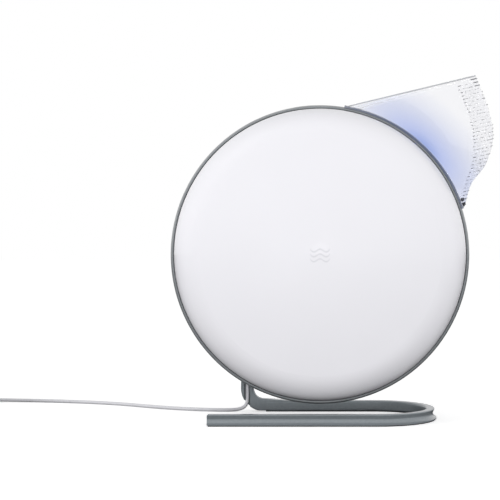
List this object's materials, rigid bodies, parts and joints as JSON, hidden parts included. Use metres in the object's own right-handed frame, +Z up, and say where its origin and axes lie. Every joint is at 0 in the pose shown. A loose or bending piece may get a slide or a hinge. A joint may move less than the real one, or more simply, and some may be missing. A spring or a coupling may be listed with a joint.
{
  "type": "personal air purifier",
  "caption": "Round desk air purifier: a flat fan body with a clear lit diffuser, turning on a bent-bar stand, with a filter behind a pull-off front cover and a USB lead.",
  "frame": {"origin": "on the desk, at the middle of the object's footprint without its lead", "axes": "+Z up, -Y out of the front cover, +X towards the diffuser's side; the body turns about an axis along Y"},
  "size_m": [0.5357, 0.2022, 0.3122],
  "materials": {
    "white_cover": "soft satin moulded plastic",
    "grey_rim": "fine satin",
    "inner_plastic": "moulded",
    "clear_plastic": "clear polished",
    "grey_metal": "satin powder coat",
    "rubber": "matt",
    "white_lead": "smooth satin",
    "white_plug": "satin",
    "steel": "machined",
    "nickel": "bright plated",
    "magnet": "nickel plated",
    "bronze": "sintered",
    "copper_core": "wound copper wire on steel",
    "fan_plastic": "moulded",
    "filter_paper": "pleated fibre paper",
    "filter_plastic": "moulded",
    "foam": "open foam",
    "tab_fabric": "woven tape",
    "board": "solder mask",
    "parts": "moulded parts",
    "lamp": "blue lamps",
    "mark": "pale print"
  },
  "bodies": {
    "stand_base": {"stand": "grey_metal", "foot_strip": "rubber", "axle": "steel", "axle_nut": "steel", "hub_cap": "grey_rim", "friction_washer": "rubber", "dc_jack": "inner_plastic", "lead_plug": "white_plug", "arm_lead": "white_lead", "lead_clips": "grey_rim", "free_lead": "white_lead", "lead_coil": "white_lead", "coil_tie": "rubber", "lead_tail": "white_lead", "usb_plug_body": "white_plug", "usb_plug_shell": "nickel"},
    "housing": {"front_ring": "grey_rim", "rear_ring": "grey_rim", "front_bulkhead": "inner_plastic", "rear_bulkhead": "inner_plastic", "volute_wall": "inner_plastic", "rear_cover": "white_cover", "rear_cover_screws": "steel", "housing_screws": "steel", "cover_magnets": "magnet", "hub_flange": "grey_rim", "hub_bush": "bronze", "flange_screws": "steel", "motor_base": "inner_plastic", "motor_stator": "copper_core", "motor_screws": "steel", "led_strip": "white_plug", "leds": "lamp", "light_guide": "clear_plastic", "control_board": "board", "board_posts": "inner_plastic", "board_screws": "steel", "board_parts": "parts", "button_switch": "parts"},
    "fan": {"impeller": "fan_plastic", "motor_rotor": "steel", "motor_magnets": "magnet", "motor_shaft": "steel"},
    "cover": {"front_cover": "white_cover", "cover_mark": "mark", "cover_catch_plates": "steel"},
    "filter": {"filter_frame": "filter_plastic", "filter_pleats": "filter_paper", "prefilter_grid": "inner_plastic", "filter_gasket": "foam", "filter_pull_tab": "tab_fabric"},
    "diffuser": {"diffuser_front_wall": "clear_plastic", "diffuser_rear_wall": "clear_plastic", "diffuser_top_wall": "clear_plastic", "diffuser_cells": "clear_plastic", "diffuser_collar": "grey_rim", "diffuser_latches": "inner_plastic"},
    "button": {"power_button": "grey_rim"}
  },
  "joints": [
    {"name": "body_turn", "type": "hinge", "parent": "stand_base", "child": "housing", "pos_m": [-0.01075, -0.0075, 0.151], "axis": [0, 1, 0], "range_deg": [-105, 45]},
    {"name": "fan_spin", "type": "hinge", "parent": "housing", "child": "fan", "pos_m": [-0.01075, -0.0075, 0.151], "axis": [0, 1, 0], "continuous": true},
    {"name": "cover_off", "type": "slide", "parent": "housing", "child": "cover", "axis": [0, -1, 0], "range_m": [0, 0.12]},
    {"name": "filter_out", "type": "slide", "parent": "housing", "child": "filter", "axis": [0, -1, 0], "range_m": [0, 0.06]},
    {"name": "diffuser_out", "type": "slide", "parent": "housing", "child": "diffuser", "axis": [0.6665, 0, 0.7455], "range_m": [0, 0.03]},
    {"name": "button_press", "type": "slide", "parent": "housing", "child": "button", "axis": [0.3746, 0, -0.9272], "range_m": [0, 0.0008], "stiffness_N_per_m": 900, "springref_m": -0.0006}
  ],
  "couplings": [
    {"joint": "filter_out", "follows": "cover_off", "ratio": 0.5}
  ]
}
